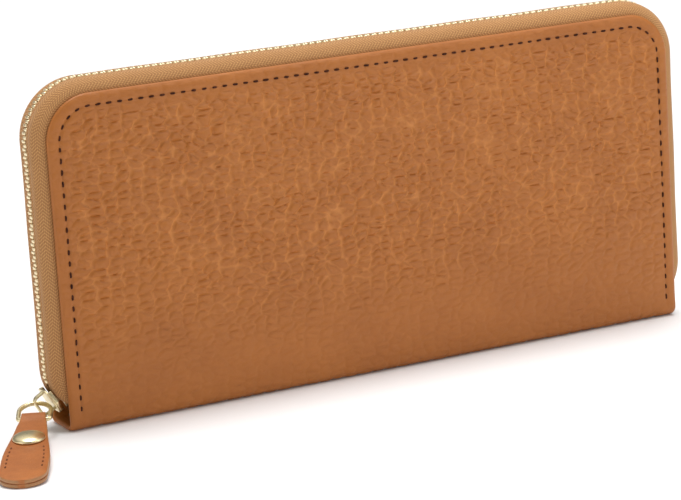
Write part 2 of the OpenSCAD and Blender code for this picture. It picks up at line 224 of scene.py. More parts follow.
def tube(path, radius, around=14, closed=False, up=(0, 0, 1), flat=1.0):
    """Round tube along a path; flat squeezes it along up."""
    path = np.asarray(path, float)
    if closed:
        tangent = np.roll(path, -1, 0) - np.roll(path, 1, 0)
    else:
        tangent = np.gradient(path, axis=0)
    tangent = unit(tangent)
    side = unit(np.cross(tangent, np.asarray(up, float)))
    upward = np.cross(side, tangent)
    a = np.arange(around) * 2 * math.pi / around
    radius = np.broadcast_to(np.asarray(radius, float), len(path))[:, None, None]
    points = path[:, None] + radius * (
        side[:, None] * np.cos(a)[None, :, None] + flat * upward[:, None] * np.sin(a)[None, :, None]
    )
    return points, loft_faces(len(path), around, closed=closed)


def offset_outline(outline, inset):
    """A counter-clockwise outline moved inwards."""
    d = np.roll(outline, -1, 0) - np.roll(outline, 1, 0)
    d /= np.linalg.norm(d, axis=1)[:, None] + 1e-9
    return outline + inset * np.stack([-d[:, 1], d[:, 0]], 1)


def plate(outline, low, high, soft):
    """A plate with rounded edges, as points (a, b, height)."""
    steps = [(1.0, 0.0), (0.3, 0.3), (0.0, 1.0)]
    levels = [(1.6 * soft, low)] + [(soft * a, low + soft * b) for a, b in steps]
    levels += [(soft * a, high - soft * b) for a, b in reversed(steps)] + [(1.6 * soft, high)]
    rings = [np.column_stack([offset_outline(outline, i), np.full(len(outline), h)]) for i, h in levels]
    return np.array(rings), loft_faces(len(rings), len(outline))


def rounded_polygon(corners, radii, per_corner=6):
    """A polygon with rounded corners, as points in order."""
    corners = np.asarray(corners, float)
    out = []
    for k in range(len(corners)):
        p, a, b = corners[k], corners[k - 1], corners[(k + 1) % len(corners)]
        ua, ub = (a - p) / np.linalg.norm(a - p), (b - p) / np.linalg.norm(b - p)
        r = radii[k] if hasattr(radii, "__len__") else radii
        for t in np.linspace(0, 1, per_corner):
            out.append(p + ua * r * (1 - t) ** 2 + ub * r * t**2)
    return np.array(out)


def turned(profile, around=48):
    """A turned piece from (radius, height) points, open on its axis only where the radius is 0."""
    a = np.arange(around) * 2 * math.pi / around
    rings = [np.column_stack([r * np.cos(a), r * np.sin(a), np.full(around, h)]) for r, h in profile]
    return np.array(rings), loft_faces(len(rings), around)


class Grid:
    """A structured grid over a rectangle, whose border lines follow rounded corners."""

    def __init__(self, x_range, s_range, radius, rolls, step, open_low=False, reach=None):
        self.rolls = np.array(rolls, float)
        k = len(rolls)
        insets = self.rolls[:, 0]

        def lines(low, high, low_insets):
            rolled = insets[-1] + (low_insets[-1] if len(low_insets) else 0)
            count = max(3, int(round((high - low - rolled) / step)))
            a = low + low_insets if len(low_insets) else np.array([low])
            b = high - insets[::-1]
            return np.concatenate([a, np.linspace(a[-1], b[0], count + 1)[1:-1], b])

        x = lines(x_range[0], x_range[1], insets)
        s = lines(s_range[0], s_range[1], np.array([]) if open_low else insets)
        self.nx, self.ns = len(x), len(s)
        X, S = np.meshgrid(x, s, indexing="ij")
        i, j = np.meshgrid(np.arange(self.nx), np.arange(self.ns), indexing="ij")
        ring = np.minimum(np.minimum(i, self.nx - 1 - i), self.ns - 1 - j)
        if not open_low:
            ring = np.minimum(ring, j)
        self.ring = ring
        reach = min(reach or radius + 3, (x_range[1] - x_range[0]) / 2 - 1, (s_range[1] - s_range[0]) / 2 - 1)
        cx = int(np.argmax((x - x_range[0] >= reach) & (np.arange(self.nx) >= k)))
        cs = int(np.argmax((s_range[1] - s[::-1] >= reach) & (np.arange(self.ns) >= k)))
        c = min(cx, cs)
        ends = [False] if open_low else [False, True]
        for low in ends:
            self._round(X, S, x, s, x_range, s_range, radius, c, low)
        self.X, self.S = X, S
        self.depth = np.where(ring < k, self.rolls[np.minimum(ring, k - 1), 1], 0.0)
        sides = [X - x_range[0], x_range[1] - X, s_range[1] - S]
        self.inset = np.minimum.reduce(sides if open_low else sides + [S - s_range[0]])
        for px in (X - x_range[0], x_range[1] - X):
            for low in ends:
                ps = (S - s_range[0]) if low else (s_range[1] - S)
                near = (px < radius) & (ps < radius)
                self.inset = np.where(near, radius - np.hypot(radius - px, radius - ps), self.inset)

    def _round(self, X, S, x, s, x_range, s_range, radius, c, low):
        n = self.ns - 1
        s_at = (lambda q: s[q] - s_range[0]) if low else (lambda q: s_range[1] - s[n - q])
        for k in range(c + 1):
            dx, ds = x[k] - x_range[0], s_at(k)
            h, v = x[c] - x[k], s_at(c) - s_at(k)
            r = max(0.0, min(radius - (dx + ds) / 2, h, v)) if c > k else 0.0
            run = (v - r) + r * math.pi / 2 + (h - r)
            for leg in range(2 * (c - k) + 1):
                d = run * leg / max(1, 2 * (c - k))
                if d <= v - r:
                    px, ps = dx, s_at(c) - d
                elif d < v - r + r * math.pi / 2:
                    a = (d - v + r) / max(r, 1e-9)
                    px, ps = dx + r - r * math.cos(a), ds + r - r * math.sin(a)
                else:
                    px, ps = dx + h - (run - d), ds
                i = k if leg <= c - k else k + leg - (c - k)
                q = c - leg if leg <= c - k else k
                j = q if low else n - q
                S[i, j] = s_range[0] + ps if low else s_range[1] - ps
                X[i, j] = x_range[0] + px
                X[self.nx - 1 - i, j] = x_range[1] - px
                S[self.nx - 1 - i, j] = S[i, j]

    def between(self, near, far, flip):
        """Points and faces of a closed sheet: near side, and far side joined to it along the border."""
        border = (self.ring == 0).ravel()
        final = np.where(border, np.arange(border.size), border.size + np.cumsum(~border) - 1)
        points = np.concatenate([near.reshape(-1, 3), far.reshape(-1, 3)[~border]])
        faces = self.quads(flip) + [tuple(int(final[v]) for v in f) for f in self.quads(not flip)]
        return points, faces, final

    def quads(self, flip=False):
        i, j = np.meshgrid(np.arange(self.nx - 1), np.arange(self.ns - 1), indexing="ij")
        a = (i * self.ns + j).ravel()
        b = a + self.ns
        f = np.stack([a, b, b + 1, a + 1], 1)
        return [tuple(q) for q in (f[:, ::-1] if flip else f).tolist()]


# ---- Materials ----


class Shader:
    def __init__(self, name):
        self.material = bpy.data.materials.new(name)
        self.material.use_nodes = True
        self.tree = self.material.node_tree
        self.bsdf = self.tree.nodes["Principled BSDF"]

    def node(self, kind, sockets=None, **settings):
        n = self.tree.nodes.new("ShaderNode" + kind)
        for key, value in settings.items():
            setattr(n, key, value)
        for key, value in (sockets or {}).items():
            self.put(n.inputs[key], value)
        return n

    def put(self, socket, value):
        """Link a socket to another, or set its number, vector or colour."""
        if isinstance(value, bpy.types.NodeSocket):
            self.tree.links.new(value, socket)
        elif socket.type == "RGBA":
            socket.default_value = (*value, 1)
        else:
            socket.default_value = value

    def surface(self):
        return self.node("UVMap", uv_map="surface").outputs["UV"]

    def place(self):
        return self.node("TexCoord").outputs["Object"]

    def scaled(self, vector, x, y, z=1):
        return self.node("Mapping", {"Vector": vector, "Scale": (x, y, z)}).outputs["Vector"]

    def noise(self, vector, scale, detail=3.0, roughness=0.55):
        sockets = {"Vector": vector, "Scale": scale, "Detail": detail, "Roughness": roughness}
        return self.node("TexNoise", sockets).outputs["Fac"]

    def edges(self, vector, scale):
        """Distance to the nearest border between random cells."""
        sockets = {"Vector": vector, "Scale": scale}
        return self.node("TexVoronoi", sockets, feature="DISTANCE_TO_EDGE").outputs["Distance"]

    def math(self, operation, a, b=0.0, c=0.0):
        return self.node("Math", {0: a, 1: b, 2: c}, operation=operation).outputs["Value"]

    def ramp(self, factor, stops):
        n = self.node("ValToRGB", {"Fac": factor})
        elements = n.color_ramp.elements
        while len(elements) < len(stops):
            elements.new(0.5)
        for e, (position, color) in zip(elements, stops):
            e.position = position
            e.color = (*color, 1)
        return n.outputs["Color"]

    def mix(self, factor, a, b):
        return self.node("Mix", {0: factor, 6: a, 7: b}, data_type="RGBA").outputs[2]

    def level(self, factor, low, high, full=1.0):
        n = self.node("MapRange", {"Value": factor, "From Max": full, "To Min": low, "To Max": high})
        return n.outputs["Result"]

    def bump(self, height, distance, strength=1.0, normal=None):
        sockets = {"Height": height, "Distance": distance, "Strength": strength}
        if normal is not None:
            sockets["Normal"] = normal
        return self.node("Bump", sockets).outputs["Normal"]

    def finish(self, color, roughness, normal=None, **constants):
        self.put(self.bsdf.inputs["Base Color"], color)
        self.put(self.bsdf.inputs["Roughness"], roughness)
        if normal is not None:
            self.put(self.bsdf.inputs["Normal"], normal)
        for key, value in constants.items():
            self.put(self.bsdf.inputs[key.replace("_", " ")], value)
        return self.material


RAW_EDGE = (0.4, 0.21, 0.09)


def leather_material(name, dark, light, crease):
    sh = Shader(name)
    uv = sh.surface()
    grain = sh.node("Attribute", attribute_name="grain").outputs["Fac"]
    wide = sh.noise(uv, 38, 3)
    mottle = sh.noise(uv, 420, 4, 0.65)
    tone = sh.math("MULTIPLY_ADD", mottle, 0.35, sh.math("MULTIPLY", wide, 0.65))
    color = sh.ramp(tone, [(0.34, dark), (0.66, light)])
    # Painted highlight: the grain's creases take the crease colour, laid in place of the light that their
    # rims catch
    color = sh.mix(sh.level(grain, 0.78, 0.0, 0.64), color, crease)
    raw = sh.node("Attribute", attribute_name="raw").outputs["Fac"]
    color = sh.mix(sh.math("MULTIPLY", raw, sh.level(mottle, 0.6, 1.0)), color, RAW_EDGE)
    pores = sh.noise(uv, 3800, 2, 0.6)
    wrinkle = sh.math("MINIMUM", sh.edges(sh.scaled(uv, 1, 1.35), 1150), 0.22)
    normal = sh.bump(wrinkle, 0.00022, 0.5)
    normal = sh.bump(pores, 0.00006, 0.6, normal)
    roughness = sh.level(sh.math("ADD", grain, sh.math("MULTIPLY", mottle, 0.4)), 0.6, 0.44)
    return sh.finish(color, roughness, normal, Specular_IOR_Level=0.4)


def plain_leather_material(name, dark, light, roughness=0.5):
    sh = Shader(name)
    place = sh.place()
    tone = sh.noise(place, 260, 4, 0.6)
    color = sh.ramp(tone, [(0.3, dark), (0.7, light)])
    normal = sh.bump(sh.math("MINIMUM", sh.edges(place, 1500), 0.2), 0.00012, 0.5)
    normal = sh.bump(sh.noise(place, 4200, 2), 0.00004, 0.5, normal)
    rough = sh.level(tone, roughness + 0.06, roughness - 0.06)
    return sh.finish(color, rough, normal, Specular_IOR_Level=0.4)


def metal_material(name, base, dark, roughness=0.24):
    sh = Shader(name)
    place = sh.place()
    wear = sh.noise(place, 420, 4, 0.6)
    color = sh.mix(sh.level(wear, 0.0, 0.55), base, dark)
    scratch = sh.noise(sh.scaled(place, 1, 1, 9), 1600, 2)
    normal = sh.bump(scratch, 0.000012, 0.5)
    worn = sh.math("ADD", wear, sh.math("MULTIPLY", scratch, 0.5))
    rough = sh.level(worn, roughness - 0.06, roughness + 0.1)
    return sh.finish(color, rough, normal, Metallic=1.0)


def tape_material(name, dark, light, chevron=3.0, pitch=0.9, weft_pitch=0.45):
    """Herringbone weave: u runs along the tape and v across it."""
    sh = Shader(name)
    split = sh.node("SeparateXYZ", {"Vector": sh.scaled(sh.surface(), 1000, 1000)})
    along, across = split.outputs["X"], split.outputs["Y"]
    zigzag = sh.math("PINGPONG", across, chevron / 2)
    phase = sh.math("MULTIPLY", sh.math("ADD", along, zigzag), 2 * math.pi / pitch)
    rib = sh.level(sh.math("SINE", phase), 0.5, 1.0)
    weft = sh.level(sh.math("SINE", sh.math("MULTIPLY", across, 2 * math.pi / weft_pitch)), 0.6, 1.0)
    weave = sh.math("MULTIPLY", rib, weft)
    fuzz = sh.noise(sh.place(), 2600, 3, 0.7)
    tone = sh.math("ADD", sh.math("MULTIPLY", weave, 0.75), sh.math("MULTIPLY", fuzz, 0.3))
    color = sh.ramp(tone, [(0.25, dark), (0.85, light)])
    normal = sh.bump(weave, 0.00012, 0.6)
    normal = sh.bump(fuzz, 0.00004, 0.5, normal)
    return sh.finish(color, 0.75, normal, Sheen_Weight=0.1, Sheen_Roughness=0.5, Specular_IOR_Level=0.25)


def cloth_material(name, dark, light, pitch=0.5):
    sh = Shader(name)
    place = sh.scaled(sh.place(), 1000, 1000, 1000)
    split = sh.node("SeparateXYZ", {"Vector": place})
    waves = [sh.math("SINE", sh.math("MULTIPLY", split.outputs[k], 2 * math.pi / pitch)) for k in ("X", "Z")]
    weave = sh.level(sh.math("MULTIPLY", waves[0], waves[1]), 0.0, 1.0)
    slub = sh.noise(sh.place(), 180, 4, 0.7)
    tone = sh.math("ADD", sh.math("MULTIPLY", weave, 0.4), sh.math("MULTIPLY", slub, 0.6))
    color = sh.ramp(tone, [(0.25, dark), (0.8, light)])
    return sh.finish(color, 0.85, sh.bump(weave, 0.0001, 0.6), Sheen_Weight=0.2, Specular_IOR_Level=0.2)


def thread_material(name, dark, light):
    sh = Shader(name)
    twist = sh.noise(sh.place(), 1900, 2)
    color = sh.ramp(twist, [(0.35, dark), (0.65, light)])
    return sh.finish(color, 0.7, sh.bump(twist, 0.00008, 0.7), Specular_IOR_Level=0.15)


# Each leather's third colour is the painted highlight laid into the creases of its grain
LEATHER_SKIN = leather_material(
    "grained leather", (0.365, 0.115, 0.017), (0.435, 0.145, 0.023), (0.66, 0.265, 0.07),
)
PULL_LEATHER = leather_material(
    "puller leather", (0.31, 0.09, 0.018), (0.47, 0.155, 0.034), (0.4, 0.13, 0.03),
)
INNER_LEATHER = plain_leather_material("inner leather", (0.3, 0.11, 0.038), (0.36, 0.14, 0.05), 0.46)
LINING_CLOTH = cloth_material("lining cloth", (0.25, 0.13, 0.06), (0.38, 0.22, 0.11))
FOAM = cloth_material("foam", (0.2, 0.2, 0.2), (0.3, 0.3, 0.3), 1.1)
BOARD = plain_leather_material("spine board", (0.2, 0.18, 0.15), (0.28, 0.25, 0.21), 0.8)
TAPE = tape_material("zip tape", (0.27, 0.11, 0.035), (0.66, 0.36, 0.14))
COIN_TAPE = cloth_material("coin zip tape", (0.26, 0.13, 0.055), (0.46, 0.26, 0.12), 0.7)
BRASS = metal_material("pale gold brass", (0.86, 0.74, 0.46), (0.6, 0.48, 0.24))
TEETH_BRASS = metal_material("zip teeth brass", (1.0, 0.86, 0.6), (0.8, 0.62, 0.34), 0.36)
THREAD = thread_material("dark brown thread", (0.022, 0.005, 0.003), (0.08, 0.02, 0.01))
PULL_THREAD = thread_material("tan thread", (0.1, 0.03, 0.012), (0.2, 0.07, 0.03))


# ---- Cover leather ----


def section(s):
    """Point (y, z) and inward direction of the front half's section, from under the spine up the face."""
    s = np.asarray(s, float)
    flat = FACE_Y - SPINE_R
    a = np.clip((s - flat) / SPINE_R, 0, math.pi / 2)
    y = np.where(s < flat, -s, -flat - SPINE_R * np.sin(a))
    z = np.where(s < FACE_S, SPINE_R - SPINE_R * np.cos(a), SPINE_R + s - FACE_S)
    return y, z, np.sin(a), np.cos(a)


def crown(x, z):
    """How far the padded face stands out at a point."""
    up = np.clip(1 - ((z - MID_Z) / (TOP - MID_Z)) ** 2, 0, 1)
    along = np.clip(1 - np.abs(x / HALF) ** 5, 0, 1)
    return CROWN * up * along


COVER_ROLLS = [
    (4.6, 1.53), (2.5, 1.53), (1.0, 1.5), (0.45, 1.38), (0.12, 1.08), (0.0, 0.75),
    (0.1, 0.42), (0.38, 0.16), (0.8, 0.04), (1.2, 0.0),
]


INNER_STEP = 12


def groove(inset):
    return 0.34 * np.exp(-(((inset - STITCH_INSET) / 0.42) ** 2))


def face_height(x, z, inset):
    """The face without its grain: crown, pad's rise inside the stitches, and the groove that they pull in."""
    rise = 0.3 * smoothstep(STITCH_INSET, STITCH_INSET + 5, inset) - 0.12 * smoothstep(1.4, 0.2, inset)
    return crown(x, z) + (rise - groove(inset)) * smoothstep(SPINE_R - 1, SPINE_R + 4, z)


def on_cover(x, s, out, mirror):
    """A point on the cover's section, moved outwards."""
    y, z, ny, nz = section(s)
    return np.stack([x, mirror * (y - ny * out), z - nz * out], -1)


def cover_leather(name, mirror):
    step = 0.36
    grid = Grid((-HALF, HALF), (0, TOP_S), CORNER, COVER_ROLLS, step, open_low=True, reach=CORNER + 5)
    X, S, inset = grid.X, grid.S, grid.inset
    z = section(S)[1]
    rolled = grid.ring < 5
    face = grid.depth < 0.75
    shift = 0.0 if mirror > 0 else 37.0
    grain = pebble(X + 200 + shift, S + 100)
    calm = 0.22 + 0.78 * smoothstep(STITCH_INSET - 0.3, STITCH_INSET + 4, inset)
    worn = 0.36 + 0.64 * smoothstep(10, 46, z + 5 * value_noise(X / 18 + 40, S / 18))
    amount = 1.05 * calm * worn * np.clip(1 - grid.depth / 0.5, 0, 1)
    out = np.where(rolled, 0, face_height(X, z, inset)) - grid.depth
    out = out + np.where(face, amount * (grain - 1), 0)
    points = on_cover(X, S, out, mirror)
    # Low values mark the creases, where the leather shader lays its painted highlight; calm and worn fade it
    # near the stitches and towards the bottom, and the values also set the roughness
    values = 1 - (1 - grain) * calm * worn

    # The unseen inner side: a coarse grid that meets the fine one along the border
    cols = list(range(0, grid.nx - 1, INNER_STEP)) + [grid.nx - 1]
    rows = list(range(0, grid.ns - 1, INNER_STEP)) + [grid.ns - 1]
    outer_count = grid.nx * grid.ns
    squeeze = (HALF - 6) / HALF
    wall_x = X[:, 0] * squeeze
    wall = on_cover(wall_x, S[:, 0], np.full(grid.nx, -LEATHER), mirror)
    ci, cj = np.meshgrid(cols[1:-1], rows[1:-1], indexing="ij")
    inner_x, inner_s = X[ci, cj] * squeeze, S[ci, cj] * (TOP_S - 6) / TOP_S
    inner_z = section(inner_s)[1]
    inner = on_cover(inner_x, inner_s, crown(inner_x, inner_z) - LEATHER, mirror)
    wall_at = outer_count
    inner_at = wall_at + grid.nx

    def index(i, j):
        if j == 0:
            return wall_at + i
        if i in (0, grid.nx - 1) or j == grid.ns - 1:
            return i * grid.ns + j
        return inner_at + (cols.index(i) - 1) * (len(rows) - 2) + rows.index(j) - 1

    faces = grid.quads(flip=mirror < 0)
    inner_faces = []
    for a, b in zip(cols[:-1], cols[1:]):
        for c, d in zip(rows[:-1], rows[1:]):
            loop = [index(i, c) for i in (range(a, b + 1) if c == 0 else (a, b))]
            loop += [index(b, j) for j in (range(c + 1, d) if b == grid.nx - 1 else ())]
            loop += [index(i, d) for i in (range(b, a - 1, -1) if d == grid.ns - 1 else (b, a))]
            loop += [index(a, j) for j in (range(d - 1, c, -1) if a == 0 else ())]
            inner_faces.append(tuple(loop[::-1]))
    for i in range(grid.nx - 1):
        inner_faces.append((i * grid.ns, wall_at + i, wall_at + i + 1, (i + 1) * grid.ns))
    for i in (0, grid.nx - 1):
        a, b, c = i * grid.ns, i * grid.ns + 1, wall_at + i
        inner_faces.append((a, b, c) if i else (a, c, b))
    faces += [f[::-1] for f in inner_faces] if mirror < 0 else inner_faces
    all_points = np.concatenate([points.reshape(-1, 3), wall, inner.reshape(-1, 3)])
    extra = len(all_points) - outer_count
    uv = np.concatenate([np.stack([X + shift, S], -1).reshape(-1, 2), np.zeros((extra, 2))])
    values = np.concatenate([values.ravel(), np.ones(extra)])
    return add_object(name, all_points, faces, LEATHER_SKIN, uv, {"grain": values}, sharp=60)


def stitch_places():
    """Middle and direction of each stitch on the face, as (x, z, dx, dz)."""
    x, z, r = HALF - STITCH_INSET, TOP - STITCH_INSET, CORNER - STITCH_INSET
    low = FOLD_Z + 0.6
    up = z - r - low
    arc = r * math.pi / 2
    top = 2 * (x - r)
    total = 2 * up + 2 * arc + top
    count = int(round(total / STITCH_PITCH))
    places = []
    for k in range(count):
        d = (k + 0.5) * total / count
        side = 1
        if d > total / 2:
            d, side = total - d, -1
        if d < up:
            p = (-x, low + d, 0, 1)
        elif d < up + arc:
            a = (d - up) / r
            p = (-x + r - r * math.cos(a), z - r + r * math.sin(a), math.sin(a), math.cos(a))
        else:
            p = (-x + r + d - up - arc, z, 1, 0)
        places.append((side * p[0], p[1], p[2], side * p[3]))
    return places


def stitch(parts, middle, along, out, half=0.95, thick=0.3, lift=0.12, dip=0.32):
    """One stitch of thread: it comes up from a hole, lies in the groove, and goes down into the next."""
    t = np.linspace(-1, 1, 9)
    rise = lift - (lift + dip) * np.abs(t) ** 5
    path = middle + np.outer(t * half, along) + np.outer(rise, out)
    points, faces = tube(path, thick * (1 - 0.25 * t**4), 8, up=out, flat=0.8)
    parts.add(points, faces)


def cover_stitches(name, mirror):
    parts = Parts()
    rng = np.random.default_rng(5)
    for x, z, dx, dz in stitch_places():
        s = FACE_S + z - SPINE_R
        base = face_height(x, z, STITCH_INSET)
        skew = rng.normal(0, 0.05)
        along = np.array([dx - skew * dz, 0, dz + skew * dx])
        middle = on_cover(np.array(x), np.array(s), base, mirror)
        stitch(parts, middle, along, np.array([0, -mirror, 0.0]), half=0.68 + rng.normal(0, 0.06), thick=0.27)
    return parts.make(name, THREAD)


# ---- Zip ----

END_RUN = END_CURVE * END_TURN
SIDE_RUN = TOP - CORNER - SIDE_LOW
BEND_R = CORNER + ZIP_RISE
BEND_RUN = BEND_R * math.pi / 2
TOP_RUN = 2 * (HALF - CORNER)
ZIP_RUN = 2 * (END_RUN + SIDE_RUN + BEND_RUN) + TOP_RUN


def zip_path(s):
    """Teeth's centre line, from where the slider rests: point, direction and outward normal in (x, z)."""
    s = np.asarray(s, float)
    m = np.where(s > ZIP_RUN / 2, ZIP_RUN - s, s)
    a = END_TURN - m / END_CURVE
    b = np.clip((m - END_RUN - SIDE_RUN) / BEND_R, 0, math.pi / 2)
    on_end, on_side = m < END_RUN, m < END_RUN + SIDE_RUN
    on_bend = m < END_RUN + SIDE_RUN + BEND_RUN
    zero, one = np.zeros_like(m), np.ones_like(m)
    centre_x = -HALF + CORNER
    px = np.select([on_end, on_side, on_bend],
                   [-ZIP_SIDE + END_CURVE * (1 - np.cos(a)), -ZIP_SIDE * one, centre_x - BEND_R * np.cos(b)],
                   centre_x + m - END_RUN - SIDE_RUN - BEND_RUN)
    pz = np.select([on_end, on_side, on_bend],
                   [SIDE_LOW - END_CURVE * np.sin(a), SIDE_LOW + m - END_RUN,
                    TOP - CORNER + BEND_R * np.sin(b)],
                   (TOP + ZIP_RISE) * one)
    tx = np.select([on_end, on_side, on_bend], [-np.sin(a), zero, np.sin(b)], one)
    tz = np.select([on_end, on_side, on_bend], [np.cos(a), one, np.cos(b)], zero)
    flip = np.where(s > ZIP_RUN / 2, -1.0, 1.0)
    return np.stack([flip * px, pz], -1), np.stack([tx, flip * tz], -1), np.stack([-flip * tz, tx], -1)


TAPE_LINE = np.array([
    (-4.0, 5.7), (-1.5, 5.7), (0.1, 5.68), (1.1, 5.45), (2.0, 5.0), (2.72, 4.4), (3.05, 3.8), (3.18, 3.0),
    (3.14, 2.45), (3.02, 2.2), (3.14, 1.95), (3.24, 1.6), (3.2, 1.2), (3.12, 0.75),
])
TAPE_THICK = 0.5


def ribbon_section(line, thick):
    """Closed outline of a ribbon round a line, and how far along the line each point is."""
    d = unit(np.gradient(line, axis=0))
    n = np.stack([-d[:, 1], d[:, 0]], 1) * thick / 2
    run = np.concatenate([[0], np.cumsum(np.linalg.norm(np.diff(line, axis=0), axis=1))])
    return np.concatenate([line + n, (line - n)[::-1]]), np.concatenate([run, run[::-1]])


def zip_tape(name, mirror):
    step = 0.8
    s = np.arange(-7.0, ZIP_RUN + 7.01, step)
    outline, run = ribbon_section(TAPE_LINE, TAPE_THICK)
    P, T, N = zip_path(s)
    end = smoothstep(1.5, -4.5, np.minimum(s, ZIP_RUN - s))[:, None]
    u = np.where(outline[:, 0] > 0, outline[:, 0] * (1 - 0.35 * end), outline[:, 0])
    y = 5.7 - (5.7 - outline[:, 1]) * (1 - 0.6 * end)
    wave = 0.06 * np.sin(s / 5.3)[:, None] * (outline[:, 0] > 0.5)
    u = u + wave
    x = P[:, None, 0] + N[:, None, 0] * (u - ZIP_RISE)
    z = P[:, None, 1] + N[:, None, 1] * (u - ZIP_RISE)
    points = np.stack([x, -mirror * y, z], -1)
    uv = np.stack([np.broadcast_to(s[:, None], y.shape), np.broadcast_to(run, y.shape)], -1)
    return add_object(name, points, loft_faces(len(s), len(outline), flip=mirror < 0), TAPE, uv, sharp=70)


TOOTH = [
    (-1.2, 0.34, 0.4), (-1.1, 0.46, 0.56), (-0.75, 0.48, 0.62), (-0.4, 0.46, 0.6), (-0.1, 0.42, 0.52),
    (0.25, 0.46, 0.56), (0.42, 0.4, 0.46), (0.52, 0.24, 0.28),
]


def tooth(parts, place, along, out, side, scale=1.0):
    """One tooth, lofted along y from the tape's cord to its head."""
    a = (np.arange(10) + 0.5) * math.pi / 5
    cx = np.sign(np.cos(a)) * np.abs(np.cos(a)) ** 0.6
    cn = np.sign(np.sin(a)) * np.abs(np.sin(a)) ** 0.6
    rings = []
    for y, half_t, half_n in TOOTH:
        base = place + np.array([0, side * y * scale, 0])
        rings.append(base + np.outer(cx * half_t * scale, along) + np.outer(cn * half_n * scale, out))
    parts.add(np.array(rings), loft_faces(len(rings), 10, flip=side > 0))


def zip_teeth(name, mirror):
    parts = Parts()
    count = int((ZIP_RUN - 9.2) / TOOTH_PITCH)
    shift = 0.0 if mirror > 0 else 0.5
    for k in range(count):
        P, T, N = zip_path(4.6 + (k + shift) * TOOTH_PITCH)
        place = np.array([P[0], 0, P[1]])
        tooth(parts, place, np.array([T[0], 0, T[1]]), np.array([N[0], 0, N[1]]), mirror)
    return parts.make(name, TEETH_BRASS, sharp=50)


# ---- Slider, ring and puller ----


def to_frame(points, origin, a, b, c):
    """Points given along three directions, placed at an origin."""
    points = np.asarray(points, float)
    return origin + points[..., :1] * a + points[..., 1:2] * b + points[..., 2:3] * c


def wing_outline(half_length, wide, narrow):
    return rounded_polygon(
        [(-wide * 0.86, -half_length), (wide * 0.86, -half_length), (wide, -0.5),
         (narrow, half_length * 0.8), (narrow * 0.55, half_length), (-narrow * 0.55, half_length),
         (-narrow, half_length * 0.8), (-wide, -0.5)],
        [0.9, 0.9, 0.9, 0.5, 0.5, 0.5, 0.5, 0.9], 5)


def add_wing(parts, origin, across, up, out, size, flip=False):
    half_length, wide, narrow, wing_in, wing_out, slot = size
    outline = wing_outline(half_length, wide, narrow)
    points, faces = plate(outline, wing_in, wing_out, 0.2)
    parts.add(to_frame(points, origin, across, up, out), [f[::-1] for f in faces] if flip else faces)
    for side in (-1, 1):
        lip = [(side * wide * 0.86, -half_length + 0.25), (side * wide, -0.5),
               (side * narrow, half_length * 0.8),
               (side * (narrow - 0.7), half_length * 0.8), (side * (wide - 0.75), -0.5),
               (side * (wide * 0.86 - 0.7), -half_length + 0.25)]
        lip = rounded_polygon(lip if side > 0 else lip[::-1], 0.25, 4)
        points, faces = plate(lip, slot, wing_in + 0.15, 0.12)
        parts.add(to_frame(points, origin, across, up, out), [f[::-1] for f in faces] if flip else faces)


MAIN_SIZE = (3.6, 3.9, 3.1, 1.35, 1.95, 0.5)
SLIDER_OUT = np.array([-math.cos(END_TURN), 0, -math.sin(END_TURN)])
SLIDER_UP = np.array([-math.sin(END_TURN), 0, math.cos(END_TURN)])
ACROSS_Y = np.array([0.0, 1.0, 0.0])
BAIL = dict(base=1.9, hole=3.05, strip=0.7, half=3.2, leg=0.8)
RING_R, RING_SHIFT = 4.2, -2.2


def arch(parts, origin, along, out, across, half_width, base, hole, strip, half, leg):
    """A bail bent from a flat strip: up from the wing, over the ring and down again."""
    side, high, bend = half - leg / 2, base + hole + strip / 2, 1.5
    t = np.linspace(0, 1, 9)[:, None]
    foot, under = np.array([-side, base - 0.2]), np.array([-side, high - bend])
    corner, over = np.array([-side, high]), np.array([-side + bend, high])
    left = np.concatenate([
        foot + (under - foot) * t[:-1],
        under * (1 - t) ** 2 + 2 * corner * t * (1 - t) + over * t**2,
    ])
    line = np.concatenate([left, (left * [-1, 1])[::-1]])
    path = to_frame(np.column_stack([line, np.zeros(len(line))]), origin, along, out, across)
    points, faces = tube(path, leg / 2, 16, up=across, flat=2 * half_width / leg)
    parts.add(points, faces)


def ring_path(radius, straight_from, bar_at, shift, corner=1.1):
    """D-shaped line: round on the slider's side, straight where the leather hangs."""
    a = np.linspace(0, math.pi, 40)
    arc = np.column_stack([radius * np.cos(a), straight_from - radius * np.sin(a)])
    t = np.linspace(0, math.pi / 2, 9)
    legs = np.linspace(0, 1, 6)[1:-1, None]
    left = np.array([-radius, straight_from]) + legs * np.array([0, bar_at - corner - straight_from])
    turn = np.array([-radius + corner, bar_at - corner]) + corner * np.column_stack([-np.cos(t), np.sin(t)])
    bar = np.column_stack([np.linspace(-radius + corner, radius - corner, 12)[1:-1], np.full(10, bar_at)])
    side = np.concatenate([left, turn])
    line = np.concatenate([arc, side, bar, (side * [-1, 1])[::-1]])
    return np.column_stack([line[:, 0] + shift, line[:, 1], np.zeros(len(line))])


def lay_axes(slope):
    across = np.array([math.cos(HEADING), -math.sin(HEADING), 0])
    level = math.cos(slope)
    ahead = np.array([-math.sin(HEADING) * level, -math.cos(HEADING) * level, -math.sin(slope)])
    return across, ahead, np.cross(ahead, across)


def tongue_half_width(q):
    """Half the puller's width at a distance from the ring's bar."""
    q = np.asarray(q, float)
    length, end = 43.9, 6.1
    w = 3.2 + 0.8 * smoothstep(0, 8, q) + (end - 4.0) * smoothstep(5, 30, q)
    tip = np.sqrt(np.clip(1 - ((q - (length - end)) / end) ** 2, 0, 1))
    return np.where(q > length - end, np.minimum(w, end * tip + 0.02), w)


